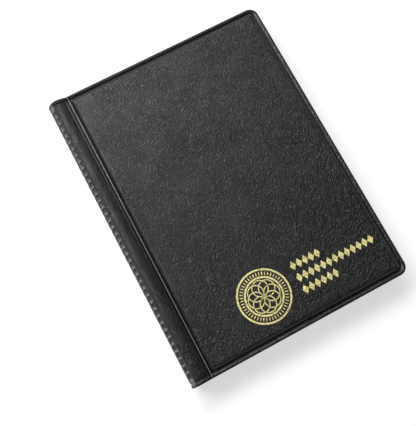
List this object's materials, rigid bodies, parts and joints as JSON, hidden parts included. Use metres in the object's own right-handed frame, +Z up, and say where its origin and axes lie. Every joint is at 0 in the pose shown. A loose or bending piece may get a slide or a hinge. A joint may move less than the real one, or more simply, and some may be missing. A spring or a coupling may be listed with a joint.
{
  "type": "coin album",
  "caption": "Small padded vinyl coin album with welded covers on a soft folding spine, holding leaves of clear coin pockets.",
  "frame": {"origin": "on the surface the closed album lies on, under the middle of its box", "axes": "+Z up through the closed album from the back cover to the front cover, +Y towards the top of the book, +X from the spine to the fore edge"},
  "size_m": [0.115, 0.152, 0.0181],
  "materials": {
    "cover_vinyl": "black PVC skin with an embossed leather grain, glossier where it is welded",
    "lining_vinyl": "thin black PVC lining with a fine grain",
    "greyboard": "plain grey-brown bookbinding board, hidden inside the cover",
    "padding": "thin white foam padding, hidden inside the cover",
    "gold_foil": "hot-stamped gold foil, bright, slightly broken by the grain",
    "page_vinyl": "soft white PVC sheet, satin",
    "pocket_film": "clear soft PVC film, glossy, with frosted weld lines"
  },
  "bodies": {
    "back_cover": {"back_skin": "cover_vinyl", "back_foam": "padding", "back_board": "greyboard", "back_lining": "lining_vinyl"},
    "back_strip": {"back_strip_skin": "cover_vinyl", "back_strip_lining": "lining_vinyl"},
    "spine": {"spine_skin": "cover_vinyl", "spine_lining": "lining_vinyl", "page_binding": "page_vinyl"},
    "front_strip": {"front_strip_skin": "cover_vinyl", "front_strip_lining": "lining_vinyl"},
    "front_cover": {"front_skin": "cover_vinyl", "front_foam": "padding", "front_board": "greyboard", "front_lining": "lining_vinyl", "foil_print": "gold_foil"},
    "leaf_01": {"leaf_01_backing": "page_vinyl", "leaf_01_pockets": "pocket_film"},
    "leaf_02": {"leaf_02_backing": "page_vinyl", "leaf_02_pockets": "pocket_film"},
    "leaf_03": {"leaf_03_backing": "page_vinyl", "leaf_03_pockets": "pocket_film"},
    "leaf_04": {"leaf_04_backing": "page_vinyl", "leaf_04_pockets": "pocket_film"},
    "leaf_05": {"leaf_05_backing": "page_vinyl", "leaf_05_pockets": "pocket_film"},
    "leaf_06": {"leaf_06_backing": "page_vinyl", "leaf_06_pockets": "pocket_film"},
    "leaf_07": {"leaf_07_backing": "page_vinyl", "leaf_07_pockets": "pocket_film"},
    "leaf_08": {"leaf_08_backing": "page_vinyl", "leaf_08_pockets": "pocket_film"},
    "leaf_09": {"leaf_09_backing": "page_vinyl", "leaf_09_pockets": "pocket_film"},
    "leaf_10": {"leaf_10_backing": "page_vinyl", "leaf_10_pockets": "pocket_film"}
  },
  "joints": [
    {"name": "back_corner_fold", "type": "hinge", "parent": "back_strip", "child": "spine", "pos_m": [-0.05519, 0, 0.00167], "axis": [0, -1, 0], "range_deg": [0, 115]},
    {"name": "back_weld_fold", "type": "hinge", "parent": "back_cover", "child": "back_strip", "pos_m": [-0.0472, 0, 0.003], "axis": [0, -1, 0], "range_deg": [-25.1, 0]},
    {"name": "front_corner_fold", "type": "hinge", "parent": "spine", "child": "front_strip", "pos_m": [-0.05519, 0, 0.01633], "axis": [0, -1, 0], "range_deg": [0, 115]},
    {"name": "front_weld_fold", "type": "hinge", "parent": "front_strip", "child": "front_cover", "pos_m": [-0.0472, 0, 0.015], "axis": [0, -1, 0], "range_deg": [-25.1, 0]},
    {"name": "leaf_01_turn", "type": "hinge", "parent": "spine", "child": "leaf_01", "pos_m": [-0.05385, 0, 0.00328], "axis": [0, -1, 0], "range_deg": [-84.1, 0]},
    {"name": "leaf_02_turn", "type": "hinge", "parent": "spine", "child": "leaf_02", "pos_m": [-0.05385, 0, 0.00447], "axis": [0, -1, 0], "range_deg": [-74.6, 0]},
    {"name": "leaf_03_turn", "type": "hinge", "parent": "spine", "child": "leaf_03", "pos_m": [-0.05385, 0, 0.00568], "axis": [0, -1, 0], "range_deg": [-65.1, 0]},
    {"name": "leaf_04_turn", "type": "hinge", "parent": "spine", "child": "leaf_04", "pos_m": [-0.05385, 0, 0.00688], "axis": [0, -1, 0], "range_deg": [-55.6, 0]},
    {"name": "leaf_05_turn", "type": "hinge", "parent": "spine", "child": "leaf_05", "pos_m": [-0.05385, 0, 0.00808], "axis": [0, -1, 0], "range_deg": [-46.1, 0]},
    {"name": "leaf_06_turn", "type": "hinge", "parent": "spine", "child": "leaf_06", "pos_m": [-0.05385, 0, 0.00928], "axis": [0, -1, 0], "range_deg": [0, 46.1]},
    {"name": "leaf_07_turn", "type": "hinge", "parent": "spine", "child": "leaf_07", "pos_m": [-0.05385, 0, 0.01047], "axis": [0, -1, 0], "range_deg": [0, 55.6]},
    {"name": "leaf_08_turn", "type": "hinge", "parent": "spine", "child": "leaf_08", "pos_m": [-0.05385, 0, 0.01167], "axis": [0, -1, 0], "range_deg": [0, 65.1]},
    {"name": "leaf_09_turn", "type": "hinge", "parent": "spine", "child": "leaf_09", "pos_m": [-0.05385, 0, 0.01287], "axis": [0, -1, 0], "range_deg": [0, 74.6]},
    {"name": "leaf_10_turn", "type": "hinge", "parent": "spine", "child": "leaf_10", "pos_m": [-0.05385, 0, 0.01408], "axis": [0, -1, 0], "range_deg": [0, 84.1]}
  ],
  "couplings": [
    {"joint": "back_weld_fold", "follows": "back_corner_fold", "ratio": -0.21739},
    {"joint": "front_corner_fold", "follows": "back_corner_fold", "ratio": 1},
    {"joint": "front_weld_fold", "follows": "back_corner_fold", "ratio": -0.21739},
    {"joint": "leaf_01_turn", "follows": "back_corner_fold", "ratio": -0.73043},
    {"joint": "leaf_02_turn", "follows": "back_corner_fold", "ratio": -0.64783},
    {"joint": "leaf_03_turn", "follows": "back_corner_fold", "ratio": -0.56522},
    {"joint": "leaf_04_turn", "follows": "back_corner_fold", "ratio": -0.48261},
    {"joint": "leaf_05_turn", "follows": "back_corner_fold", "ratio": -0.4},
    {"joint": "leaf_06_turn", "follows": "back_corner_fold", "ratio": 0.4},
    {"joint": "leaf_07_turn", "follows": "back_corner_fold", "ratio": 0.48261},
    {"joint": "leaf_08_turn", "follows": "back_corner_fold", "ratio": 0.56522},
    {"joint": "leaf_09_turn", "follows": "back_corner_fold", "ratio": 0.64783},
    {"joint": "leaf_10_turn", "follows": "back_corner_fold", "ratio": 0.73043}
  ]
}
